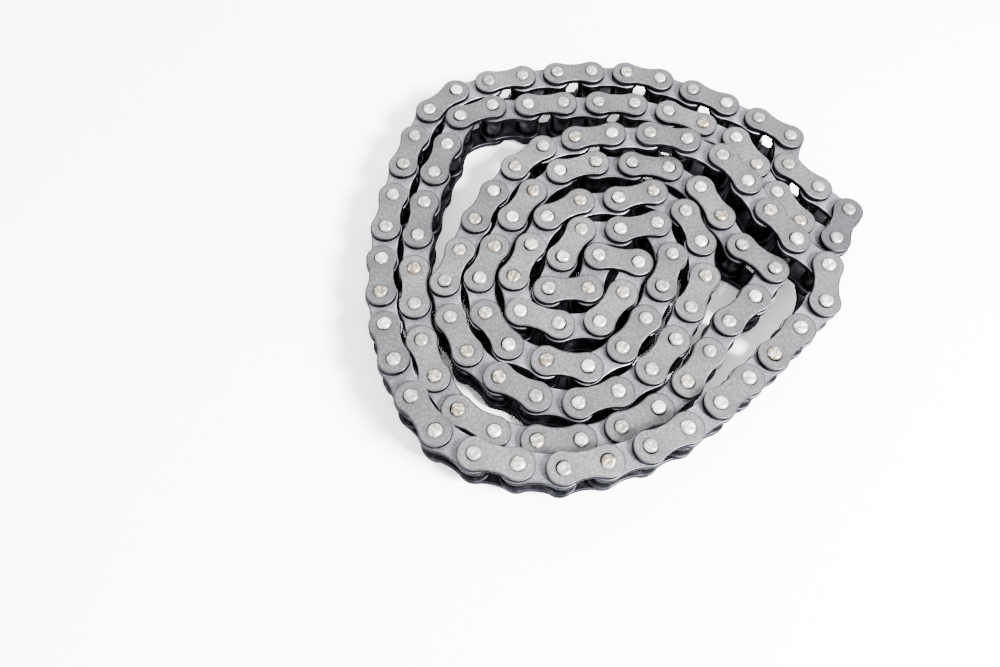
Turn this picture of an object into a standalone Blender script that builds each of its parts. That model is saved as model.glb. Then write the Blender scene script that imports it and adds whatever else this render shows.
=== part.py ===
"""Roller chain of 132 links, lying on its side in folds, with one pivot of the loop left open.

The chain rests in the XY plane on the lower ends of its pins, Z up.  Eighteen links are free to turn on
their pins.  The six at the open end have every plate, pin, bush and roller as a piece of its own, the next
twelve are one piece each, and the rest of the chain is the coil, in short runs of fused links.
"""
import math

import bmesh
import bpy
import numpy as np
from mathutils import Matrix, Vector

# Sizes in millimetres.  Levels are heights from the middle of the chain's width.
MM = 0.001
PITCH = 12.7
LINKS = 132
ROLLER_R = 4.25
ROLLER_BORE_R = 3.55
ROLLER_LEVEL = 3.65
BUSH_R = 3.2
BUSH_BORE_R = 2.5
PIN_R = 2.1
PIN_LEVEL = 9.2
TURNING_BORE_R = 2.8
INNER_LEVELS = (3.95, 5.95)
OUTER_LEVELS = (6.25, 8.25)
INNER_END_R = 5.3
INNER_WAIST = 4.3
INNER_HOLE_R = 3.5
OUTER_END_R = 5.0
OUTER_WAIST = 3.9
OUTER_HOLE_R = 2.4

# How finely a round is drawn: sides of a pin and of a roller, and steps of a plate's end from tip to flank.
COIL = {"pin": 4, "roller": 6, "end": 1}
WHOLE = {"pin": 6, "roller": 6, "end": 2}
PIECES = {"pin": 12, "roller": 16, "end": 4}
FLANK = math.radians(70)

# The chain's route: places that it passes, as (pin, x, y).
ROUTE = [
    (0, -45, 69), (4, 6, 75), (6, 30, 67), (9, 62, 47), (10, 60, 35), (12, 77, 17),
    (13, 72, 6), (14, 61, 12), (17, 43, 46), (18, 32, 52), (20, 8, 60), (24, -43, 57),
    (25, -54, 52), (30, -67, -10), (34, -50, -57), (36, -27, -66), (39, 9, -55), (42, 33, -26),
    (44, 50, -7), (45, 40, 2), (48, 19, 32), (51, -19, 30), (54, -41, -1), (55, -46, -13),
    (57, -35, -35), (59, -11, -42), (60, 0, -35), (63, 17, -2), (64, 13, 10), (65, 1, 7),
    (66, -12, 7), (68, -23, -15), (69, -11, -16), (70, -7, -4), (71, 6, -5), (72, 1, -17),
    (73, -7, -27), (75, -32, -24), (78, -22, 11), (80, 0, 19), (81, 13, 22), (82, 23, 15),
    (84, 27, -10), (88, -2, -50), (90, -27, -52), (93, -54, -27), (96, -47, 9), (99, -25, 40),
    (102, 13, 43), (104, 36, 34), (106, 49, 12), (107, 56, 1), (108, 65, -7), (109, 63, -19),
    (114, 16, -62), (117, -19, -75), (120, -55, -65), (122, -69, -44), (126, -76, 6), (130, -65, 55),
]
# Where it rides up on the strand beside it: (pin, height).
RISES = [(98, 0), (104, 5.6), (107, 5.6), (111, 2.8), (115, 5.6), (120, 5.6), (126, 0)]
CLEARANCE = 0.45
RIDE_STEP = 4.6
RIDE_GAIN = 1.0

# The free links, from the open end at OPEN_PIVOT back to the coil, and how many of them come apart.
OPEN_PIVOT = 13
FREE_LINKS = 18
LOOSE_LINKS = 6
COIL_RUNS = (8, 6, 6, 6, 6, 6) * 3


def clear_scene():
    for old in list(bpy.data.objects):
        bpy.data.objects.remove(old, do_unlink=True)


# ---- How the chain lies ----

def route_pins():
    """Every pin's place on a closed smooth curve through the places of ROUTE."""
    marks = np.array(ROUTE, float)
    number, place = marks[:, 0], marks[:, 1:]
    after = np.append(number[1:], number[0] + LINKS)
    before = np.append(number[-1] - LINKS, number[:-1])
    slope = (np.roll(place, -1, 0) - np.roll(place, 1, 0)) / (after - before)[:, None]
    pins = []
    for pin in range(LINKS):
        i = np.searchsorted(number, pin, side="right") - 1
        j = (i + 1) % len(number)
        span = after[i] - number[i]
        s = (pin - number[i]) / span
        ends = (2 * s**3 - 3 * s**2 + 1) * place[i] + (3 * s**2 - 2 * s**3) * place[j]
        pins.append(ends + span * ((s**3 - 2 * s**2 + s) * slope[i] + (s**3 - s**2) * slope[j]))
    return np.array(pins)


def pin_heights():
    """How far every pin is lifted, going up and down in even curves between the heights of RISES."""
    heights = np.zeros(LINKS)
    for (first, low), (last, high) in zip(RISES, RISES[1:]):
        for pin in range(first, last + 1):
            t = (pin - first) / (last - first)
            share = 2 * t * t if t < 0.5 else 1 - 2 * (1 - t) ** 2
            heights[pin] = low + (high - low) * share
    return heights


def neighbours(pins, heights, ends):
    """Pairs of plate ends and link middles of different stretches, and how far apart each pair has to be.

    Where one strand rides on another, its plates reach in over the other's rollers.
    """
    count = len(ends)
    along = np.concatenate([np.arange(LINKS), np.arange(LINKS) + 0.5])
    waist = np.where(np.arange(LINKS) % 2, INNER_WAIST, OUTER_WAIST)
    reach = np.concatenate([np.full(LINKS, INNER_END_R), waist])
    height = heights[ends].mean(1)
    one, other = np.triu_indices(count, 1)
    apart = np.abs(along[one] - along[other])
    apart = np.minimum(apart, LINKS - apart)
    places = pins[ends].mean(1)
    near = (apart >= 2) & (np.linalg.norm(places[one] - places[other], axis=1) < 20)
    one, other = one[near], other[near]
    riding = np.abs(height[one] - height[other]) > RIDE_STEP
    need = reach[one] + reach[other] + CLEARANCE - RIDE_GAIN * riding
    return one, other, need


def settle(goal, heights, rounds=600):
    """Moves the pins off their route until they are one pitch apart and no strand runs into another."""
    pins = goal.copy()
    number = np.arange(LINKS)
    after = np.roll(number, -1)
    run = np.sqrt(PITCH**2 - (heights[after] - heights) ** 2)
    ends = np.concatenate([np.stack([number, number], 1), np.stack([number, after], 1)])
    one, other, need = neighbours(goal, heights, ends)
    for k in range(rounds):
        pins += 0.02 * max(0, 1 - k / (0.7 * rounds)) * (goal - pins)
        places = pins[ends].mean(1)
        gap = places[other] - places[one]
        far = np.linalg.norm(gap, axis=1)
        push = gap * (np.clip(need - far, 0, None) / far * 0.3)[:, None]
        for end in range(2):
            np.add.at(pins, ends[one, end], -push / 2)
            np.add.at(pins, ends[other, end], push / 2)
        for half in (0, 1) * 4:
            a = np.arange(half, LINKS, 2)
            b = after[a]
            gap = pins[b] - pins[a]
            far = np.linalg.norm(gap, axis=1)
            pull = gap * ((far - run[a]) / far / 2)[:, None]
            pins[a] += pull
            pins[b] -= pull
    return pins - (pins.min(0) + pins.max(0)) / 2


class Link:
    """One link where it lies: x runs along it from its first pin, y to its left, level up from mid-width."""

    def __init__(self, number, pins, heights):
        number %= LINKS
        after = (number + 1) % LINKS
        step = Vector(pins[after] - pins[number])
        self.outer = number % 2 == 0
        self.first = Vector((*pins[number], PIN_LEVEL + heights[number]))
        self.length = step.length
        self.along = step.normalized()
        self.slope = (heights[after] - heights[number]) / self.length
        self.heading = math.atan2(self.along.y, self.along.x)
        self.rings = {}

    def point(self, x, y, level):
        across = Vector((-self.along.y, self.along.x))
        place = self.along * x + across * y
        return self.first + Vector((place.x, place.y, self.slope * x + level))

    def frame(self):
        """The link's own axes at its first pin, in metres."""
        return Matrix.Translation(self.first * MM) @ Matrix.Rotation(self.heading, 4, "Z")


# ---- Building in a mesh ----

def ring(bm, link, x, radius, sides, level):
    """A loop of points round a pin, the first one on the link's centre line."""
    turns = [math.tau * k / sides for k in range(sides)]
    return [bm.verts.new(link.point(x + radius * math.cos(t), radius * math.sin(t), level)) for t in turns]


def rim(bm, link, end_r, waist, steps, level):
    """A plate's edge, from its far tip round by the left flank: round ends and a narrow waist."""
    turns = [FLANK * k / steps for k in range(steps + 1)]
    flank = [(link.length + end_r * math.cos(t), end_r * math.sin(t)) for t in turns]
    flank.append((link.length / 2, waist))
    flank += [(link.length - x, y) for x, y in reversed(flank[:-1])]
    flank += [(x, -y) for x, y in reversed(flank[1:-1])]
    return [bm.verts.new(link.point(x, y, level)) for x, y in flank]


def wall(bm, one, other):
    """Joins two loops of as many points, starting where they lie closest."""
    gaps = [(point.co - one[0].co).to_2d().length for point in other]
    first = gaps.index(min(gaps))
    other = other[first:] + other[:first]
    for k in range(len(one)):
        bm.faces.new((one[k - 1], one[k], other[k]))
        bm.faces.new((one[k - 1], other[k], other[k - 1]))


def plate_face(bm, edge, holes):
    """A flat side of a plate less its holes, near one first, as two halves that meet on the centre line."""
    if not holes:
        bm.faces.new(edge)
        return
    half = len(edge) // 2
    left = edge[: half + 1]
    for hole in holes:
        left += hole[len(hole) // 2 :: -1]
    right = edge[half:] + edge[:1]
    for hole in reversed(holes):
        right += hole[:1] + hole[: len(hole) // 2 - 1 : -1]
    bm.faces.new(left)
    bm.faces.new(right)


def plate(bm, link, levels, fineness, inside, outside):
    """An outer or inner plate between two levels, joined to the loops given for each of its sides."""
    shape = (OUTER_END_R, OUTER_WAIST) if link.outer else (INNER_END_R, INNER_WAIST)
    edges = [rim(bm, link, *shape, fineness["end"], level) for level in levels]
    wall(bm, *edges)
    plate_face(bm, edges[0], inside)
    plate_face(bm, edges[1], outside)


def pin_end(bm, link, x, sides, side, base):
    """The end of a pin that shows beyond an outer plate."""
    tip = ring(bm, link, x, PIN_R, sides, side * PIN_LEVEL)
    wall(bm, base, tip)
    bm.faces.new(tip)


def tube(bm, link, x, radius, bore, sides, level):
    """A bush or a roller on its own."""
    loops = [ring(bm, link, x, r, sides, h) for r, h in
             ((radius, -level), (radius, level), (bore, level), (bore, -level))]
    for k in range(4):
        wall(bm, loops[k - 1], loops[k])


def add_outer_link(bm, link, fineness, joints, ended):
    """Two outer plates and their pins; ended says which sides show pin ends, and joints what holds each pin."""
    sides = fineness["pin"]
    places = (0, link.length)
    for side in (-1, 1):
        near, far = side * OUTER_LEVELS[0], side * OUTER_LEVELS[1]
        inside = [ring(bm, link, x, PIN_R, sides, near) for x in places]
        outside = [ring(bm, link, x, PIN_R, sides, far) for x in places if side in ended]
        plate(bm, link, (near, far), fineness, inside, outside)
        for x, base in zip(places, outside):
            pin_end(bm, link, x, sides, side, base)
        link.rings[side] = inside
    for k, joint in enumerate(joints):
        if joint == "turning":
            wall(bm, link.rings[-1][k], link.rings[1][k])


def add_inner_link(bm, link, fineness, joints):
    """Two inner plates and their rollers; joints says whether each roller is bored for a pin that turns."""
    places = (0, link.length)
    fused, turning = (PIN_R, fineness["pin"]), (TURNING_BORE_R, fineness["roller"])
    holes = [turning if joint == "turning" else fused for joint in joints]
    seats = {}
    for side in (-1, 1):
        near, far = side * INNER_LEVELS[0], side * INNER_LEVELS[1]
        seats[side] = [ring(bm, link, x, ROLLER_R, fineness["roller"], near) for x in places]
        outside = [ring(bm, link, x, *hole, far) for x, hole in zip(places, holes)]
        plate(bm, link, (near, far), fineness, seats[side], outside)
        link.rings[side] = outside
    for k, joint in enumerate(joints):
        wall(bm, seats[-1][k], seats[1][k])
        if joint == "turning":
            wall(bm, link.rings[-1][k], link.rings[1][k])


def add_links(bm, links, fineness, ended):
    """A stretch of links in one piece, its first and last pins free to turn."""
    for link in links:
        joints = ("turning" if link is links[0] else "fused", "turning" if link is links[-1] else "fused")
        if link.outer:
            add_outer_link(bm, link, fineness, joints, ended)
        else:
            add_inner_link(bm, link, fineness, joints)
    for link, after in zip(links, links[1:]):
        for side in (-1, 1):
            wall(bm, link.rings[side][1], after.rings[side][0])


# ---- Objects ----

def material(name, colour, roughness, metallic):
    made = bpy.data.materials.new(name)
    made.use_nodes = True
    shader = made.node_tree.nodes["Principled BSDF"]
    shader.inputs["Base Color"].default_value = (*colour, 1)
    shader.inputs["Roughness"].default_value = roughness
    shader.inputs["Metallic"].default_value = metallic
    made.diffuse_color = (*colour, 1)
    return made


def steels():
    """The chain's steels: dull plates, brighter inner links and pin ends, and oily rollers."""
    return {
        "outer_plate": material("outer_plate", (0.42, 0.41, 0.40), 0.45, 0.85),
        "inner_plate": material("inner_plate", (0.50, 0.50, 0.53), 0.40, 0.85),
        "pin": material("pin", (0.68, 0.66, 0.62), 0.30, 0.90),
        "bush": material("bush", (0.30, 0.30, 0.32), 0.35, 0.90),
        "roller": material("roller", (0.20, 0.20, 0.22), 0.30, 0.90),
        "outer_link": material("outer_link", (0.44, 0.43, 0.42), 0.45, 0.85),
        "inner_link": material("inner_link", (0.48, 0.48, 0.50), 0.40, 0.85),
        "coil": material("coil", (0.40, 0.40, 0.40), 0.45, 0.85),
    }


def body_of(name, bm, steel, axis, offset=Matrix.Identity(4), origin=None):
    """Makes an object of the mesh, whose points are in millimetres of the whole chain."""
    bmesh.ops.recalc_face_normals(bm, faces=bm.faces)
    home = origin if axis is None else axis.matrix_world @ offset
    bm.transform(home.inverted() @ Matrix.Scale(MM, 4))
    mesh = bpy.data.meshes.new(name)
    bm.to_mesh(mesh)
    bm.free()
    mesh.materials.append(steel)
    made = bpy.data.objects.new(name, mesh)
    bpy.context.scene.collection.objects.link(made)
    made.parent = axis
    made.matrix_local = offset if axis else origin
    return made


def axis_at(name, link, parent):
    """An empty on the pin that a free link turns on, carried by the link before it."""
    axis = bpy.data.objects.new(name, None)
    bpy.context.scene.collection.objects.link(axis)
    axis.empty_display_size = PITCH * MM
    axis.parent = parent
    axis.matrix_local = parent.matrix_world.inverted() @ link.frame() if parent else link.frame()
    bpy.context.view_layer.update()
    return axis


def loose_outer_link(name, link, axis, steel, open_end):
    """An outer link as plates and pins.  The pin of the open pivot is cut, and its ends stay in the plates."""
    places = (0, link.length)
    sides = PIECES["pin"]
    for side, which in ((1, "top"), (-1, "bottom")):
        near, far = side * OUTER_LEVELS[0], side * OUTER_LEVELS[1]
        bm = bmesh.new()
        held = places[:1] if open_end else places
        inside = [ring(bm, link, x, OUTER_HOLE_R, sides, near) for x in held]
        outside = [ring(bm, link, x, OUTER_HOLE_R, sides, far) for x in held]
        for hole in zip(inside, outside):
            wall(bm, *hole)
        if open_end:
            outside.append(ring(bm, link, link.length, PIN_R, sides, far))
            pin_end(bm, link, link.length, sides, side, outside[-1])
        plate(bm, link, (near, far), PIECES, inside, outside)
        body_of(f"{name}_{which}_plate", bm, steel["outer_plate"], axis)
    for x, which in zip(places[:1] if open_end else places, "ab"):
        bm = bmesh.new()
        loose_pin(bm, link, x, PIN_LEVEL)
        body_of(f"{name}_pin_{which}", bm, steel["pin"], axis, Matrix.Translation((x * MM, 0, 0)))


def loose_pin(bm, link, x, level):
    ends = [ring(bm, link, x, PIN_R, PIECES["pin"], side * level) for side in (-1, 1)]
    wall(bm, *ends)
    for end in ends:
        bm.faces.new(end)


def loose_inner_link(name, link, axis, steel):
    """An inner link as plates, bushes and rollers that turn on the bushes."""
    places = (0, link.length)
    for side, which in ((1, "top"), (-1, "bottom")):
        near, far = side * INNER_LEVELS[0], side * INNER_LEVELS[1]
        bm = bmesh.new()
        inside = [ring(bm, link, x, INNER_HOLE_R, PIECES["pin"], near) for x in places]
        outside = [ring(bm, link, x, INNER_HOLE_R, PIECES["pin"], far) for x in places]
        for hole in zip(inside, outside):
            wall(bm, *hole)
        plate(bm, link, (near, far), PIECES, inside, outside)
        body_of(f"{name}_{which}_plate", bm, steel["inner_plate"], axis)
    for x, which in zip(places, "ab"):
        offset = Matrix.Translation((x * MM, 0, 0))
        bm = bmesh.new()
        tube(bm, link, x, BUSH_R, BUSH_BORE_R, PIECES["pin"], INNER_LEVELS[1])
        body_of(f"{name}_bush_{which}", bm, steel["bush"], axis, offset)
        bm = bmesh.new()
        tube(bm, link, x, ROLLER_R, ROLLER_BORE_R, PIECES["roller"], ROLLER_LEVEL)
        body_of(f"{name}_roller_{which}", bm, steel["roller"], axis, offset)


def free_stretch(pins, heights, steel):
    """The links that turn, made from the coil outwards so that each is carried by the one before it."""
    axis = None
    for number in range(FREE_LINKS, 0, -1):
        link = Link(OPEN_PIVOT - number, pins, heights)
        kind = "outer_link" if link.outer else "inner_link"
        name = f"{kind}_{number:02d}"
        axis = axis_at(f"axis_{number:02d}", link, axis)
        if number > LOOSE_LINKS:
            bm = bmesh.new()
            add_links(bm, [link], WHOLE, (-1, 1))
            body_of(name, bm, steel[kind], axis)
        elif link.outer:
            loose_outer_link(name, link, axis, steel, number == 1)
        else:
            loose_inner_link(name, link, axis, steel)


def coil(pins, heights, steel):
    """The fused runs, from the open pivot round to the free stretch, and the shank of the cut pin."""
    number = OPEN_PIVOT
    for k, count in enumerate(COIL_RUNS, 1):
        links = [Link(number + i, pins, heights) for i in range(count)]
        bm = bmesh.new()
        add_links(bm, links, COIL, (-1,))
        body_of(f"coil_run_{k:02d}", bm, steel["coil"], None, origin=links[0].frame())
        number += count
    link = Link(OPEN_PIVOT, pins, heights)
    bm = bmesh.new()
    loose_pin(bm, link, 0, INNER_LEVELS[1])
    body_of("open_pivot_shank", bm, steel["pin"], None, origin=link.frame())


def main():
    clear_scene()
    heights = pin_heights()
    pins = settle(route_pins(), heights)
    steel = steels()
    free_stretch(pins, heights, steel)
    coil(pins, heights, steel)


main()
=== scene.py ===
"""Looks of the roller chain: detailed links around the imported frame, on a pale floor in soft light."""
import math
import random

import bmesh
import bpy
import numpy as np
from mathutils import Matrix, Vector


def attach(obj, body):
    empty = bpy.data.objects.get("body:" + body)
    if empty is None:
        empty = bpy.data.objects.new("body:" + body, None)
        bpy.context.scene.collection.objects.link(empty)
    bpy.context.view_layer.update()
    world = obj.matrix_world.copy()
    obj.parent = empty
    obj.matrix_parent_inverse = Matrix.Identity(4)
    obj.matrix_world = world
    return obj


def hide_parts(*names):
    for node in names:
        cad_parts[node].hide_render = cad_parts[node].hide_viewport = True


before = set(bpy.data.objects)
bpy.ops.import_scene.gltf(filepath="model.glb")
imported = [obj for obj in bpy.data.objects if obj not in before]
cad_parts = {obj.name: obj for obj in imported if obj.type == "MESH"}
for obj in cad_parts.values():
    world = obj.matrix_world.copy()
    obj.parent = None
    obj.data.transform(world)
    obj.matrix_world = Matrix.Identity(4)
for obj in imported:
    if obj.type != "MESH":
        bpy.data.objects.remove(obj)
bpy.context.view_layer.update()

# Sizes in millimetres. Levels are heights from the middle of the chain's width.
MM = 0.001
PITCH = 12.7
LINKS = 132
PIN_LEVEL = 9.2
PIN_R = 2.2
PIN_HOLE_R = 2.26
BUSH_R = 3.1
BUSH_BORE_R = 2.35
BUSH_HOLE_R = 3.16
ROLLER_R = 4.25
ROLLER_BORE_R = 3.2
ROLLER_LEVEL = 3.7
INNER_LEVELS = (3.95, 5.95)
OUTER_LEVELS = (6.25, 8.25)
INNER_END_R = 5.3
INNER_WAIST = 4.3
OUTER_END_R = 5.0
OUTER_WAIST = 3.9

# Sides of every hole and turned piece, and points along half of a plate's end and half of its hollow flank.
ROUND_SIDES = 32
END_POINTS = 20
FLANK_POINTS = 7
# Plates: how far their edges are rolled over, in how many steps, and how far in the band along the edge
# reaches.
PLATE_BEVEL = 0.45
BEVEL_STEPS = 4
# That band is paler in patches, partly wear and partly a painted highlight, and darker in the others.
RIM_BAND = 0.8
# How wide the darker ring round each bore is, and the least it stays clear of the band along the edge.
OUTER_SEAT = 1.0
INNER_SEAT = 0.4
SEAT_GAP = 0.1

# A pin's round after riveting: its mean share of the full radius, and waves of (count, height, start).
PIN_SPREAD = 0.985
PIN_WAVES = ((2, 0.022, 0), (3, 0.016, 1), (5, 0.012, 2))
# The most degrees that a pin leans.
PIN_LEAN = 2.5
# How far the straight part of a pin's end starts above the outer plate's lower side.
PIN_FOOT = 0.05
# Small edges: of bushes and the cut shank, and of rollers.
FINE_EDGE = 0.1
ROLLER_EDGE = 0.35
# How far a bush ends inside its plates' outer sides, and the cut shank short of the outer plates.
BUSH_SHORT = 0.02
SHANK_SHORT = 0.3

# The chain's route: places that it passes, as (pin, x, y). Programs worked them out from measured pins
# and picked which to keep: this isn't a list chosen by hand.
ROUTE = [
    (0, -45, 69), (4, 6, 75), (6, 30, 67), (9, 62, 47), (10, 60, 35), (12, 77, 17),
    (13, 72, 6), (14, 61, 12), (17, 43, 46), (18, 32, 52), (20, 8, 60), (24, -43, 57),
    (25, -54, 52), (30, -67, -10), (34, -50, -57), (36, -27, -66), (39, 9, -55), (42, 33, -26),
    (44, 50, -7), (45, 40, 2), (48, 19, 32), (51, -19, 30), (54, -41, -1), (55, -46, -13),
    (57, -35, -35), (59, -11, -42), (60, 0, -35), (63, 17, -2), (64, 13, 10), (65, 1, 7),
    (66, -12, 7), (68, -23, -15), (69, -11, -16), (70, -7, -4), (71, 6, -5), (72, 1, -17),
    (73, -7, -27), (75, -32, -24), (78, -22, 11), (80, 0, 19), (81, 13, 22), (82, 23, 15),
    (84, 27, -10), (88, -2, -50), (90, -27, -52), (93, -54, -27), (96, -47, 9), (99, -25, 40),
    (102, 13, 43), (104, 36, 34), (106, 49, 12), (107, 56, 1), (108, 65, -7), (109, 63, -19),
    (114, 16, -62), (117, -19, -75), (120, -55, -65), (122, -69, -44), (126, -76, 6), (130, -65, 55),
]
# Where it rides up on the strand beside it: (pin, height).
RISES = [(98, 0), (104, 5.6), (107, 5.6), (111, 2.8), (115, 5.6), (120, 5.6), (126, 0)]
# Between strands: the least gap, the step in height from which one rides on the other, and how much nearer
# it may lie then.
CLEARANCE = 0.45
RIDE_STEP = 4.6
RIDE_GAIN = 1.0
# How the pins settle: how many rounds, how near another stretch has to be to matter and how many links
# along the chain it starts, how hard the route draws the pins and up to which share of the rounds, how hard
# strands push apart, and how often links are set right in a round.
ROUNDS = 600
WATCHED = 20
STRETCH_APART = 2
HOMING = 0.02
HOMING_ENDS = 0.7
PUSH = 0.3
LINK_SWEEPS = 4

# The frame's bodies: links that turn, from the open end back to the coil, and the coil's fused runs.
OPEN_PIVOT = 13
FREE_LINKS = 18
LOOSE_LINKS = 6
COIL_RUNS = (8, 6, 6, 6, 6, 6) * 3

# The camera, as a program fitted it: its place in metres, its angles below the horizon and about its line
# of sight, and its lens in millimetres.
CAMERA_PLACE = (-0.0385, -0.1276, 0.2278)
CAMERA_DOWN = math.radians(65.52)
CAMERA_ROLL = math.radians(1.474)
LENS = 27.01
SENSOR_WIDTH = 36
CLIP_START = 0.01

# Floor and light, in metres and watts.
FLOOR_SIDE = 6.0
FLOOR_GREY = (0.9, 0.9, 0.9, 1)
SKY_STRENGTH = 5.2
KEY_PLACE = (0.42, -0.30, 0.55)
KEY_SIDE = 0.2
KEY_POWER = 75

# The plates' lighter and darker greys, and the slots of a link's materials.
OUTER_GREYS = ((0.094, 0.094, 0.098), (0.070, 0.070, 0.073))
INNER_GREYS = ((0.140, 0.140, 0.158), (0.098, 0.099, 0.113))
FACE, OILY, END, ROLLING = 0, 1, 2, 3
# How deep the worn look reaches over a plate's rolled edge, and the one link that is duller, and how much.
WORN_DEPTH = 0.15
DULL_LINK = 12
DULL_TONE = 2
SEED = 4


# ---- How the chain lies, as in the frame ----

def route_pins():
    """Every pin's place on a closed smooth curve through the places of ROUTE."""
    marks = np.array(ROUTE, float)
    number, place = marks[:, 0], marks[:, 1:]
    after = np.append(number[1:], number[0] + LINKS)
    before = np.append(number[-1] - LINKS, number[:-1])
    slope = (np.roll(place, -1, 0) - np.roll(place, 1, 0)) / (after - before)[:, None]
    pins = []
    for pin in range(LINKS):
        i = np.searchsorted(number, pin, side="right") - 1
        j = (i + 1) % len(number)
        span = after[i] - number[i]
        s = (pin - number[i]) / span
        ends = (2 * s**3 - 3 * s**2 + 1) * place[i] + (3 * s**2 - 2 * s**3) * place[j]
        pins.append(ends + span * ((s**3 - 2 * s**2 + s) * slope[i] + (s**3 - s**2) * slope[j]))
    return np.array(pins)


def pin_heights():
    """How far every pin is lifted, going up and down in even curves between the heights of RISES."""
    heights = np.zeros(LINKS)
    for (first, low), (last, high) in zip(RISES, RISES[1:]):
        for pin in range(first, last + 1):
            t = (pin - first) / (last - first)
            share = 2 * t * t if t < 0.5 else 1 - 2 * (1 - t) ** 2
            heights[pin] = low + (high - low) * share
    return heights


def neighbours(pins, heights, ends):
    """Pairs of plate ends and link middles of different stretches, and how far apart each pair has to be.

    Where one strand rides on another, its plates reach in over the other's rollers.
    """
    count = len(ends)
    along = np.concatenate([np.arange(LINKS), np.arange(LINKS) + 0.5])
    waist = np.where(np.arange(LINKS) % 2, INNER_WAIST, OUTER_WAIST)
    reach = np.concatenate([np.full(LINKS, INNER_END_R), waist])
    height = heights[ends].mean(1)
    one, other = np.triu_indices(count, 1)
    apart = np.abs(along[one] - along[other])
    apart = np.minimum(apart, LINKS - apart)
    places = pins[ends].mean(1)
    far = np.linalg.norm(places[one] - places[other], axis=1)
    near = (apart >= STRETCH_APART) & (far < WATCHED)
    one, other = one[near], other[near]
    riding = np.abs(height[one] - height[other]) > RIDE_STEP
    need = reach[one] + reach[other] + CLEARANCE - RIDE_GAIN * riding
    return one, other, need


def settle(goal, heights):
    """Moves the pins off their route until they are one pitch apart and no strand runs into another."""
    pins = goal.copy()
    number = np.arange(LINKS)
    after = np.roll(number, -1)
    run = np.sqrt(PITCH**2 - (heights[after] - heights) ** 2)
    ends = np.concatenate([np.stack([number, number], 1), np.stack([number, after], 1)])
    one, other, need = neighbours(goal, heights, ends)
    for k in range(ROUNDS):
        pins += HOMING * max(0, 1 - k / (HOMING_ENDS * ROUNDS)) * (goal - pins)
        places = pins[ends].mean(1)
        gap = places[other] - places[one]
        far = np.linalg.norm(gap, axis=1)
        push = gap * (np.clip(need - far, 0, None) / far * PUSH)[:, None]
        for end in range(2):
            np.add.at(pins, ends[one, end], -push / 2)
            np.add.at(pins, ends[other, end], push / 2)
        for half in (0, 1) * LINK_SWEEPS:
            a = np.arange(half, LINKS, 2)
            b = after[a]
            gap = pins[b] - pins[a]
            far = np.linalg.norm(gap, axis=1)
            pull = gap * ((far - run[a]) / far / 2)[:, None]
            pins[a] += pull
            pins[b] -= pull
    return pins - (pins.min(0) + pins.max(0)) / 2


def link_frame(number, pins, heights):
    """A link's own axes in metres: x from its first pin to its next, z up from mid-width."""
    number %= LINKS
    after = (number + 1) % LINKS
    first = Vector((*pins[number], PIN_LEVEL + heights[number]))
    last = Vector((*pins[after], PIN_LEVEL + heights[after]))
    x = (last - first).normalized()
    y = Vector((0, 0, 1)).cross(x).normalized()
    turn = Matrix((x, y, x.cross(y))).transposed().to_4x4()
    return Matrix.Translation(first * MM) @ turn


# ---- Camera, floor and light ----

def camera():
    """A camera above the front of the coil, looking down on it."""
    made = bpy.data.cameras.new("camera")
    made.lens = LENS
    made.sensor_width = SENSOR_WIDTH
    made.clip_start = CLIP_START
    holder = bpy.data.objects.new("camera", made)
    bpy.context.scene.collection.objects.link(holder)
    look = Matrix.Rotation(math.pi / 2 - CAMERA_DOWN, 4, "X") @ Matrix.Rotation(CAMERA_ROLL, 4, "Z")
    holder.matrix_world = Matrix.Translation(CAMERA_PLACE) @ look
    bpy.context.scene.camera = holder


def mesh_object(name, bm, materials):
    """Turns a bmesh into an object of the scene."""
    mesh = bpy.data.meshes.new(name)
    bm.to_mesh(mesh)
    bm.free()
    for material in materials:
        mesh.materials.append(material)
    made = bpy.data.objects.new(name, mesh)
    bpy.context.scene.collection.objects.link(made)
    return made


def floor():
    """A pale matt floor, wide enough to fill the view."""
    bm = bmesh.new()
    bmesh.ops.create_grid(bm, x_segments=1, y_segments=1, size=FLOOR_SIDE / 2)
    paint = bpy.data.materials.new("floor")
    paint.use_nodes = True
    shader = paint.node_tree.nodes["Principled BSDF"]
    shader.inputs["Base Color"].default_value = FLOOR_GREY
    shader.inputs["Roughness"].default_value = 0.6
    shader.inputs["Specular IOR Level"].default_value = 0.2
    mesh_object("floor", bm, [paint])


def sky():
    """Even white light from all round."""
    world = bpy.data.worlds.new("studio")
    world.use_nodes = True
    background = world.node_tree.nodes["Background"]
    background.inputs["Color"].default_value = (1, 1, 1, 1)
    background.inputs["Strength"].default_value = SKY_STRENGTH
    bpy.context.scene.world = world


def key_light():
    """A square lamp above the front right, turned to the middle of the coil."""
    lamp = bpy.data.lights.new("key", "AREA")
    lamp.size = KEY_SIDE
    lamp.energy = KEY_POWER
    holder = bpy.data.objects.new("key", lamp)
    bpy.context.scene.collection.objects.link(holder)
    holder.location = KEY_PLACE
    holder.rotation_euler = (-Vector(KEY_PLACE)).to_track_quat("-Z", "Y").to_euler()


# ---- Materials ----

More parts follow.
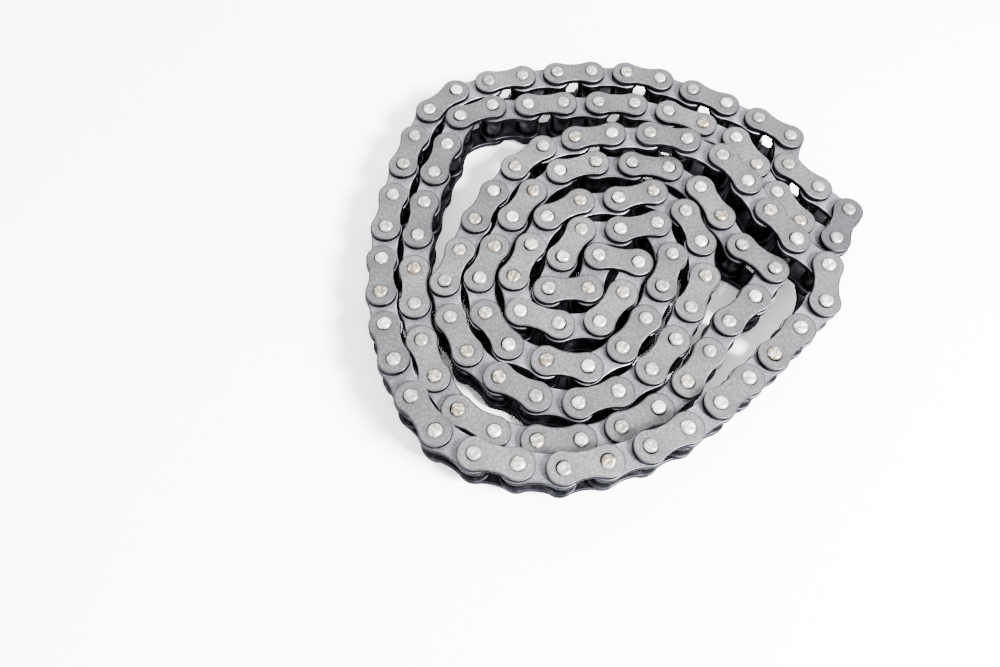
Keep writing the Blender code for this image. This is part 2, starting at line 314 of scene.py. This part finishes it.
class Nodes:
    """A small helper that adds shader nodes and joins them."""

    def __init__(self, name):
        self.material = bpy.data.materials.new(name)
        self.material.use_nodes = True
        self.tree = self.material.node_tree
        self.shader = self.tree.nodes["Principled BSDF"]
        self.place = self.add("ShaderNodeTexCoord").outputs["Object"]

    def feed(self, socket, value):
        """Joins another node's output to a socket, or sets the socket to a constant."""
        if isinstance(value, bpy.types.NodeSocket):
            self.tree.links.new(value, socket)
        elif socket.type == "RGBA":
            socket.default_value = (*value, 1)
        else:
            socket.default_value = value

    def add(self, kind, inputs=(), **settings):
        node = self.tree.nodes.new(kind)
        for key, value in settings.items():
            setattr(node, key, value)
        for key, value in dict(inputs).items():
            self.feed(node.inputs[key], value)
        return node

    def noise(self, scale, detail, roughness):
        """Soft noise over the object's own space, of so many grains to a metre."""
        inputs = {"Vector": self.place, "Scale": scale, "Detail": detail, "Roughness": roughness}
        return self.add("ShaderNodeTexNoise", inputs).outputs["Fac"]

    def ramp(self, value, low, high, start=0.0, end=1.0):
        """Goes from start to end while the value goes from low to high, and stays there beyond."""
        inputs = {"Value": value, "From Min": low, "From Max": high, "To Min": start, "To Max": end}
        return self.add("ShaderNodeMapRange", inputs).outputs["Result"]

    def mix(self, share, one, other):
        """Goes from one colour to the other; the sockets are those that the node has for colours."""
        node = self.add("ShaderNodeMix", data_type="RGBA")
        for index, value in ((0, share), (6, one), (7, other)):
            self.feed(node.inputs[index], value)
        return node.outputs[2]

    def maths(self, operation, one, other):
        return self.add("ShaderNodeMath", {0: one, 1: other}, operation=operation).outputs[0]

    def attribute(self, name):
        return self.add("ShaderNodeAttribute", attribute_name=name).outputs["Fac"]

    def set(self, **inputs):
        """Sets the shader's inputs, which are named with _ for a space."""
        for key, value in inputs.items():
            self.feed(self.shader.inputs[key.replace("_", " ")], value)

    def bump(self, height, strength, distance):
        made = self.add("ShaderNodeBump", {"Height": height, "Strength": strength, "Distance": distance})
        self.feed(self.shader.inputs["Normal"], made.outputs["Normal"])


def shade(colour, amount):
    """A colour made lighter or darker."""
    return tuple(min(1.0, c * amount) for c in colour)


def plate_steel(name, light, dark):
    """Worn satin plate: cloudy grey, stained and speckled, edge paler in patches (partly painted highlight),
    darker round the pins.
    """
    n = Nodes(name)
    broad = n.noise(110, 3, 0.55)
    clouds = n.noise(420, 5, 0.65)
    mottle = n.noise(1250, 3, 0.7)
    grain = n.noise(3000, 2, 0.7)
    colour = n.mix(n.ramp(broad, 0.38, 0.62), dark, light)
    colour = n.mix(n.ramp(clouds, 0.42, 0.64, 0.0, 0.6), colour, shade(dark, 0.6))
    stain = n.ramp(n.noise(210, 4, 0.7), 0.54, 0.70, 0.0, 0.45)
    colour = n.mix(stain, colour, (light[0], light[1] * 0.86, light[2] * 0.66))
    colour = n.mix(n.ramp(mottle, 0.50, 0.30, 0.0, 0.6), colour, shade(dark, 0.4))
    colour = n.mix(n.ramp(mottle, 0.52, 0.70, 0.0, 0.6), colour, shade(light, 2.0))
    colour = n.mix(n.ramp(grain, 0.3, 0.7, 0.0, 0.3), colour, shade(dark, 0.5))
    pits = n.ramp(n.noise(800, 4, 0.75), 0.62, 0.70, 0.0, 0.75)
    colour = n.mix(pits, colour, shade(dark, 0.25))
    # The band along the edge: paler in patches, partly wear and partly a painted highlight, and darker in
    # the others.
    border = n.ramp(n.attribute("edge"), 0.7, 1.0)
    rim_patches = n.ramp(n.noise(28, 2, 0.5), 0.44, 0.58)
    worn_and_highlight = n.maths("MULTIPLY", n.ramp(n.noise(260, 1, 0.5), 0.38, 0.58), rim_patches)
    # Where the band along the edge is not paler, it is darker.
    dark_rim = n.ramp(rim_patches, 0.6, 0.0, 0.0, 0.8)
    colour = n.mix(n.maths("MULTIPLY", border, worn_and_highlight), colour, shade(light, 2.4))
    colour = n.mix(n.maths("MULTIPLY", border, dark_rim), colour, shade(dark, 0.2))
    # Darker in a ring round each bore.
    bore_ring = n.ramp(n.attribute("seat"), 0.45, 0.95, 0.0, 0.8)
    bore_ring = n.maths("MULTIPLY", bore_ring, n.ramp(n.noise(600, 4, 0.7), 0.32, 0.55, 0.3, 1.0))
    colour = n.mix(bore_ring, colour, shade(dark, 0.25))
    colour = n.mix(n.ramp(n.attribute("tone"), 0, 1.5, 0, 0.6), colour, (0, 0, 0.004))
    n.set(Base_Color=colour, Metallic=0.55, Roughness=n.ramp(clouds, 0.25, 0.75, 0.30, 0.55))
    n.bump(n.maths("ADD", mottle, clouds), n.ramp(border, 0, 1, 0.45, 0.05), 0.00012)
    return n.material


def oily_steel():
    """Black greasy steel of the sides and inner parts, wet in places and worn through in small spots."""
    n = Nodes("oily_steel")
    clouds = n.noise(260, 4, 0.65)
    colour = n.mix(n.ramp(clouds, 0.42, 0.62), (0.011, 0.011, 0.0135), (0.024, 0.024, 0.029))
    worn_through = n.ramp(n.noise(320, 3, 0.6), 0.60, 0.70, 0.0, 0.4)
    colour = n.mix(worn_through, colour, (0.08, 0.08, 0.088))
    sheen = n.ramp(n.noise(150, 3, 0.55), 0.4, 0.66, 0.30, 0.42)
    tint = n.mix(sheen, (0, 0, 0), (0.97, 0.98, 1.0))
    n.set(Base_Color=colour, Metallic=1.0, Roughness=n.ramp(clouds, 0.3, 0.7, 0.32, 0.5), Specular_Tint=tint)
    n.bump(n.noise(450, 1, 0.5), 0.2, 0.00012)
    return n.material


def rolling_steel():
    """Rollers and bushes: smooth dark steel under oil, paler in patches, partly worn steel and partly
    painted glints.
    """
    n = Nodes("rolling_steel")
    clouds = n.noise(240, 3, 0.55)
    # Paler patches of steel, partly wear and partly painted glints; the specular tint follows them.
    worn_and_glint = n.ramp(n.noise(130, 2, 0.5), 0.48, 0.68)
    colour = n.mix(n.ramp(clouds, 0.4, 0.65), (0.016, 0.016, 0.019), (0.034, 0.034, 0.039))
    colour = n.mix(worn_and_glint, colour, (0.075, 0.073, 0.07))
    film = n.ramp(n.noise(420, 4, 0.7), 0.56, 0.70, 0.0, 0.5)
    colour = n.mix(film, colour, (0.014, 0.014, 0.016))
    tint = n.mix(n.ramp(worn_and_glint, 0, 1, 0.42, 0.6), (0, 0, 0), (1, 1, 1))
    n.set(Base_Color=colour, Metallic=1.0, Roughness=n.ramp(clouds, 0.3, 0.7, 0.2, 0.32), Specular_Tint=tint)
    n.bump(n.noise(500, 3, 0.6), 0.15, 0.00008)
    return n.material


def pin_steel():
    """Bright worn pin ends: some duller, some tinted by rust."""
    n = Nodes("pin_steel")
    clouds = n.noise(800, 4, 0.65)
    kind = n.attribute("rust")
    colour = n.mix(n.ramp(clouds, 0.38, 0.62), (0.15, 0.145, 0.13), (0.60, 0.59, 0.56))
    colour = n.mix(n.ramp(n.noise(2200, 3, 0.7), 0.5, 0.3, 0.0, 0.8), colour, (0.09, 0.085, 0.075))
    dull = n.maths("MULTIPLY", n.ramp(kind, 0.55, 0.1), n.ramp(n.noise(500, 4, 0.7), 0.35, 0.6, 0.5, 1.0))
    colour = n.mix(n.maths("MULTIPLY", dull, 0.9), colour, (0.07, 0.069, 0.062))
    rust = n.maths("MULTIPLY", n.ramp(kind, 0.66, 0.9), n.ramp(n.noise(650, 4, 0.7), 0.38, 0.56))
    colour = n.mix(rust, colour, (0.085, 0.062, 0.04))
    n.set(Base_Color=colour, Metallic=0.6, Roughness=n.ramp(clouds, 0.3, 0.7, 0.25, 0.45))
    n.bump(n.noise(1300, 3, 0.6), 0.45, 0.00018)
    return n.material


# ---- Shapes of the pieces, in millimetres, the link's first pin at the origin ----

def plate_outline(end_r, waist):
    """Points round a waisted plate from its far tip: arcs round both pins joined by hollow flanks."""
    half = PITCH / 2
    hollow_r = (half**2 + waist**2 - end_r**2) / (2 * (end_r - waist))
    flank = math.atan2(waist + hollow_r, half)
    end = [(PITCH + end_r * math.cos(t), end_r * math.sin(t))
           for t in np.linspace(0, math.pi - flank, END_POINTS)]
    sweep = math.pi / 2 - flank
    hollow = [(half + hollow_r * math.sin(t), waist + hollow_r * (1 - math.cos(t)))
              for t in np.linspace(sweep, 0, FLANK_POINTS)[1:]]
    upper = end + hollow
    upper += [(PITCH - x, y) for x, y in reversed(upper[:-1])]
    return upper + [(x, -y) for x, y in reversed(upper[1:-1])]


def circle(x, radius):
    """Points round a circle whose middle is on the link's centre line."""
    turns = [math.tau * k / ROUND_SIDES for k in range(ROUND_SIDES)]
    return [(x + radius * math.cos(t), radius * math.sin(t)) for t in turns]


def wall(bm, one, other):
    """Faces between two loops of the same count."""
    for k in range(len(one)):
        bm.faces.new((one[k - 1], one[k], other[k], other[k - 1]))


def flat_side(bm, edge, holes):
    """A flat side less its holes, as two halves that meet on the centre line."""
    half = len(edge) // 2
    left = edge[: half + 1]
    right = edge[half:] + edge[:1]
    for hole in holes:
        left += hole[len(hole) // 2 :: -1]
    for hole in reversed(holes):
        right += hole[:1] + hole[: len(hole) // 2 - 1 : -1]
    bm.faces.new(left)
    bm.faces.new(right)


def plate_shape(end_r, waist, hole_r, seat_width, levels):
    """A plate from level 0 up, its edges rolled over, bored for both pins.

    The layers edge and seat fall from 1 at the rolled edge and at the bores to 0 a little way in.
    """
    thick = levels[1] - levels[0]
    bm = bmesh.new()
    edge = bm.verts.layers.float.new("edge")
    seat = bm.verts.layers.float.new("seat")
    outline = plate_outline(end_r, waist)
    rolled = rolled_edge(thick)
    inner = min(PLATE_BEVEL + RIM_BAND, end_r - hole_r - seat_width - SEAT_GAP)
    loops = [loop_at(bm, inset_outline(outline, inset), level, edge, inset < inner)
             for level, inset in [(0, inner), *rolled, (thick, inner)]]
    for one, other in zip(loops, loops[1:]):
        wall(bm, one, other)
    holes = []
    for level, turn in ((0, 1), (0, 0), (thick, 0), (thick, 1)):
        radius = hole_r + seat_width * turn
        holes.append([loop_at(bm, circle(x, radius), level, seat, 1 - turn) for x in (0, PITCH)])
    for one, other in zip(holes, holes[1:]):
        for a, b in zip(one, other):
            wall(bm, a, b)
    flat_side(bm, loops[0], holes[0])
    flat_side(bm, loops[-1], holes[-1])
    for face in bm.faces:
        levels_met = {round(v.co.z, 4) for v in face.verts}
        face.smooth = len(levels_met) > 1
    bmesh.ops.recalc_face_normals(bm, faces=bm.faces)
    return bm


def loop_at(bm, points, level, layer, amount):
    """A loop of points at a level, with an amount in a layer."""
    loop = [bm.verts.new((x, y, level)) for x, y in points]
    for vertex in loop:
        vertex[layer] = amount
    return loop


def rolled_edge(thick):
    """Levels and insets of the loops that round a plate's edge, from below to above."""
    turns = [math.pi / 2 * k / BEVEL_STEPS for k in range(BEVEL_STEPS + 1)]
    below = [(PLATE_BEVEL * (1 - math.sin(t)), PLATE_BEVEL * (1 - math.cos(t))) for t in reversed(turns)]
    return below + [(thick - level, inset) for level, inset in reversed(below)]


def inset_outline(outline, inset):
    """The outline moved inwards along its own normals."""
    points = np.array(outline)
    along = np.roll(points, -1, 0) - np.roll(points, 1, 0)
    along /= np.linalg.norm(along, axis=1)[:, None]
    return points + inset * np.stack([-along[:, 1], along[:, 0]], 1)


def turned_shape(profile):
    """A round piece about the first pin from points of (radius, level), closed on the axis or in a ring."""
    bm = bmesh.new()
    loops = []
    for radius, level in profile:
        if radius == 0:
            loops.append([bm.verts.new((0, 0, level))])
        else:
            loops.append([bm.verts.new((x, y, level)) for x, y in circle(0, radius)])
    ring = profile[0][0] > 0
    pairs = zip(loops, loops[1:] + loops[:1]) if ring else zip(loops, loops[1:])
    for one, other in pairs:
        if len(one) == 1:
            one, other = other, one
        if len(other) == 1:
            for k in range(len(one)):
                bm.faces.new((one[k - 1], one[k], other[0]))
        else:
            wall(bm, one, other)
    for face in bm.faces:
        face.smooth = True
    bmesh.ops.recalc_face_normals(bm, faces=bm.faces)
    return bm


def pin_head():
    """Points (radius, level) of a riveted end: rounded over, a little domed, with a small centre mark."""
    depths = [(0, 0.16), (0.3, 0.10), (0.55, 0), (1.45, 0.04), (1.78, 0.15), (2.0, 0.34), (2.14, 0.62),
              (PIN_R, 0.85)]
    head = [(radius, PIN_LEVEL - depth) for radius, depth in depths]
    return head + [(PIN_R, OUTER_LEVELS[0] + PIN_FOOT)]


def pin_shape():
    """A whole pin, both ends riveted."""
    head = pin_head()
    return out_of_round(turned_shape([(r, -z) for r, z in head] + list(reversed(head))))


def pin_end_shape():
    """The riveted end that the cut pin of the open pivot leaves in each outer plate."""
    head = pin_head()
    return out_of_round(turned_shape([(0, head[-1][1])] + list(reversed(head))))


def out_of_round(bm):
    """Swells and flattens a pin's round a little, as riveting leaves it."""
    for vertex in bm.verts:
        turn = math.atan2(vertex.co.y, vertex.co.x)
        swell = sum(height * math.sin(count * turn + start) for count, height, start in PIN_WAVES)
        vertex.co.x *= PIN_SPREAD + swell
        vertex.co.y *= PIN_SPREAD + swell
    return bm


def shank_shape():
    """The middle of the open pivot's cut pin, which ends between the outer plates."""
    end = OUTER_LEVELS[0] - SHANK_SHORT
    return turned_shape([(0, -end), (PIN_R - FINE_EDGE, -end), (PIN_R, -end + FINE_EDGE),
                         (PIN_R, end - FINE_EDGE), (PIN_R - FINE_EDGE, end), (0, end)])


def bush_shape():
    """A bush, its ends a hair inside the inner plates' outer sides."""
    end = INNER_LEVELS[1] - BUSH_SHORT
    return turned_shape([(BUSH_R, -end + FINE_EDGE), (BUSH_R, end - FINE_EDGE), (BUSH_R - FINE_EDGE, end),
                         (BUSH_BORE_R, end), (BUSH_BORE_R, -end), (BUSH_R - FINE_EDGE, -end)])


def roller_shape():
    """A roller, its four edges rounded over."""
    end, edge = ROLLER_LEVEL, ROLLER_EDGE
    shoulder = edge * 0.3
    return turned_shape([(ROLLER_R, -end + edge), (ROLLER_R, end - edge),
                         (ROLLER_R - shoulder, end - shoulder), (ROLLER_R - edge, end),
                         (ROLLER_BORE_R, end), (ROLLER_BORE_R, -end),
                         (ROLLER_R - edge, -end), (ROLLER_R - shoulder, -end + shoulder)])


# ---- Building the links ----

def add_shape(bm, shape, where, slot_of, **amounts):
    """Copies a shape into a link's mesh, with the same amount in each named layer all over it."""
    mesh = bpy.data.meshes.new("copy")
    shape.to_mesh(mesh)
    for name, amount in amounts.items():
        layer = mesh.attributes.new(name, "FLOAT", "POINT")
        layer.data.foreach_set("value", [amount] * len(mesh.vertices))
    before_v, before_f = len(bm.verts), len(bm.faces)
    bm.from_mesh(mesh)
    bpy.data.meshes.remove(mesh)
    bm.verts.ensure_lookup_table()
    bm.faces.ensure_lookup_table()
    for vertex in bm.verts[before_v:]:
        vertex.co = where @ vertex.co
    for face in bm.faces[before_f:]:
        face.material_index = slot_of(face)


def finish_piece(name, bm, materials, place, body, node):
    """Makes a piece of the mesh, scaled to metres, where its link lies."""
    bmesh.ops.scale(bm, vec=(MM, MM, MM), verts=bm.verts)
    made = mesh_object(name, bm, materials)
    made.matrix_world = place
    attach(made, body)
    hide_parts(node)


def worn(piece, level):
    """How a piece's faces find their slots: a plate's worn upper side and a pin's ends stand out."""
    if piece == "pin":
        return lambda face: END if abs(face.calc_center_median().z) > OUTER_LEVELS[1] else OILY
    if piece in ("bush", "roller", "shank"):
        return lambda face: ROLLING
    if level is None:
        return lambda face: OILY
    return lambda face: FACE if face.calc_center_median().z > level - WORN_DEPTH else OILY


def coil_nodes():
    """The coil run that each fixed link belongs to, by the link's number."""
    runs = {}
    number = OPEN_PIVOT
    for k, count in enumerate(COIL_RUNS, 1):
        for i in range(count):
            runs[(number + i) % LINKS] = f"coil_run_{k:02d}"
        number += count
    return runs


def build_links(pins, heights, shapes, steels, draw):
    """All links, in order round the loop, which is also the order of the random draws."""
    runs = coil_nodes()
    for number in range(LINKS):
        kind = "inner" if number % 2 else "outer"
        back = (OPEN_PIVOT - number) % LINKS
        place = link_frame(number, pins, heights)
        if 0 < back <= LOOSE_LINKS:
            tone = DULL_TONE if number == DULL_LINK else draw.random()
            loose_link(kind, back, place, shapes, steels, tone)
        elif 0 < back <= FREE_LINKS:
            name = f"{kind}_link_{back:02d}"
            body = f"link_{back:02d}"
            whole_link(name, kind, place, body, name, shapes, steels, draw)
        else:
            name = f"coil_link_{number:03d}"
            whole_link(name, kind, place, "coil", runs[number], shapes, steels, draw)


def whole_link(name, kind, place, body, node, shapes, steels, draw):
    """A link that is one object: it rides on a body and stands for a node of the frame."""
    bm = bmesh.new()
    tone = draw.random()
    for piece, where, face_level in parts_of(kind):
        rust = 0
        if piece == "pin":
            rust = draw.random()
            where = where @ slight_tilt(draw)
        add_shape(bm, shapes[piece], where, worn(piece, face_level), tone=tone, rust=rust)
    finish_piece(name + "_look", bm, link_steels(kind, steels), place, body, node)


def link_steels(kind, steels):
    """A link's materials in the order of their slots."""
    return [steels[f"{kind}_plate"], *steels["others"]]


def slight_tilt(draw):
    """A degree or two of lean and any turn about its own axis, as no two riveted pins are alike."""
    lean = math.radians(draw.uniform(0, PIN_LEAN))
    return Matrix.Rotation(draw.uniform(0, math.tau), 4, "Z") @ Matrix.Rotation(lean, 4, "X")


def up(level, x=0.0):
    """A place that far above mid-width and along the link."""
    return Matrix.Translation((x, 0, level))


def parts_of(kind):
    """The pieces of one link: shape, place, and the level of its worn face if it has one."""
    if kind == "outer":
        low, high = OUTER_LEVELS
        return [("outer_plate", up(low), high), ("outer_plate", up(-high), None),
                ("pin", up(0), None), ("pin", up(0, PITCH), None)]
    low, high = INNER_LEVELS
    return [("inner_plate", up(low), high), ("inner_plate", up(-high), None),
            ("bush", up(0), None), ("bush", up(0, PITCH), None),
            ("roller", up(0), None), ("roller", up(0, PITCH), None)]


def loose_link(kind, back, place, shapes, steels, tone):
    """A link whose pieces are each an object of its own."""
    seen = {}
    for piece, where, face_level in parts_of(kind):
        which = seen.setdefault(piece, 0)
        seen[piece] += 1
        part = "plate" if "plate" in piece else piece
        ending = ("top_plate", "bottom_plate")[which] if part == "plate" else f"{part}_{'ab'[which]}"
        node = f"{kind}_link_{back:02d}_{ending}"
        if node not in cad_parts:  # the cut pin, whose ends belong to the plates
            continue
        bm = bmesh.new()
        add_shape(bm, shapes[piece], where, worn(piece, face_level), tone=tone, rust=0)
        if back == 1 and part == "plate":
            end = up(0, PITCH) @ Matrix.Rotation(math.pi * which, 4, "X")
            add_shape(bm, shapes["pin_end"], end, worn("pin", None), tone=tone, rust=0)
        body = f"roller_{back:02d}{'ab'[which]}" if part == "roller" else f"link_{back:02d}"
        finish_piece(node + "_look", bm, link_steels(kind, steels), place, body, node)


def open_pivot(pins, heights, shapes, steels):
    """The middle of the cut pin, which stays in the coil's first bush."""
    bm = bmesh.new()
    add_shape(bm, shapes["shank"], up(0), worn("shank", None), tone=0, rust=0)
    place = link_frame(OPEN_PIVOT, pins, heights)
    node = "open_pivot_shank"
    finish_piece(node + "_look", bm, link_steels("outer", steels), place, "coil", node)


def main():
    """Sets the scene, lays the chain and builds every link."""
    camera()
    floor()
    sky()
    key_light()
    heights = pin_heights()
    pins = settle(route_pins(), heights)
    steels = {
        "outer_plate": plate_steel("outer_plate_steel", *OUTER_GREYS),
        "inner_plate": plate_steel("inner_plate_steel", *INNER_GREYS),
        "others": (oily_steel(), pin_steel(), rolling_steel()),
    }
    shapes = {
        "outer_plate": plate_shape(OUTER_END_R, OUTER_WAIST, PIN_HOLE_R, OUTER_SEAT, OUTER_LEVELS),
        "inner_plate": plate_shape(INNER_END_R, INNER_WAIST, BUSH_HOLE_R, INNER_SEAT, INNER_LEVELS),
        "pin": pin_shape(),
        "pin_end": pin_end_shape(),
        "shank": shank_shape(),
        "bush": bush_shape(),
        "roller": roller_shape(),
    }
    build_links(pins, heights, shapes, steels, random.Random(SEED))
    open_pivot(pins, heights, shapes, steels)


main()
